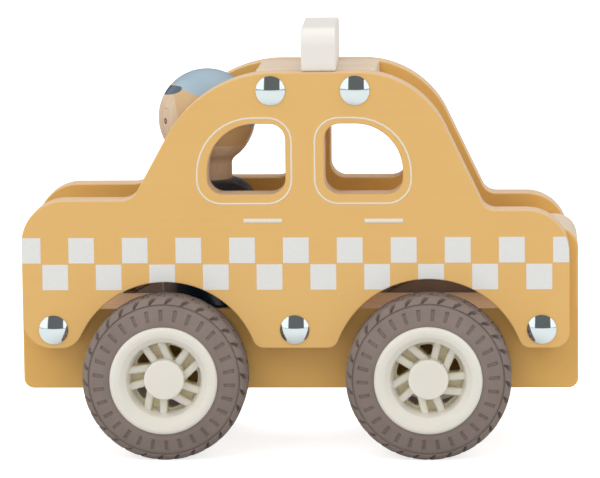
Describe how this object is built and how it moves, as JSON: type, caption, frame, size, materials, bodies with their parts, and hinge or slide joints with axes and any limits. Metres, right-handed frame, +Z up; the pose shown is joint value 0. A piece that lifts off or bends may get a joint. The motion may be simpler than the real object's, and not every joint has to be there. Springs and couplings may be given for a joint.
{
  "type": "toy taxi",
  "caption": "Wooden toy taxi with bolted side panels, a block roof sign, fat spoked wheels on turning axles and a peg driver that lifts out of the open cabin.",
  "frame": {"origin": "on the floor under the middle of the car", "axes": "+Z up, the car's front towards -X, its left side towards -Y"},
  "size_m": [0.1766, 0.076, 0.1352],
  "materials": {
    "painted_side": "satin yellow paint on wood, bare sanded edges",
    "bare_wood": "sanded pale hardwood, clear matt finish",
    "sign_paint": "satin off-white paint on wood",
    "plated_steel": "bright plated steel",
    "axle_steel": "drawn steel rod",
    "bush_plastic": "natural nylon",
    "rim_plastic": "moulded off-white plastic, semi-gloss",
    "tyre_rubber": "soft matt taupe rubber",
    "navy_paint": "glossy navy lacquer on turned wood"
  },
  "bodies": {
    "car": {"left_side_panel": "painted_side", "right_side_panel": "painted_side", "chassis_block": "bare_wood", "rear_block": "bare_wood", "roof_block": "bare_wood", "roof_sign": "sign_paint", "through_bolts": "plated_steel", "cap_nuts": "plated_steel", "sign_dowels": "bare_wood", "rear_block_dowels": "bare_wood", "front_axle_bushes": "bush_plastic", "rear_axle_bushes": "bush_plastic"},
    "front_wheels": {"front_axle": "axle_steel", "front_left_rim": "rim_plastic", "front_right_rim": "rim_plastic", "front_left_tyre": "tyre_rubber", "front_right_tyre": "tyre_rubber"},
    "rear_wheels": {"rear_axle": "axle_steel", "rear_left_rim": "rim_plastic", "rear_right_rim": "rim_plastic", "rear_left_tyre": "tyre_rubber", "rear_right_tyre": "tyre_rubber"},
    "driver": {"driver_body": "navy_paint", "driver_head": "bare_wood"}
  },
  "joints": [
    {"name": "front_axle_spin", "type": "hinge", "parent": "car", "child": "front_wheels", "pos_m": [-0.04175, 0, 0.026], "axis": [0, 1, 0], "continuous": true},
    {"name": "rear_axle_spin", "type": "hinge", "parent": "car", "child": "rear_wheels", "pos_m": [0.0412, 0, 0.026], "axis": [0, 1, 0], "continuous": true},
    {"name": "driver_lift", "type": "slide", "parent": "car", "child": "driver", "axis": [0, 0, 1], "range_m": [0, 0.08]}
  ]
}
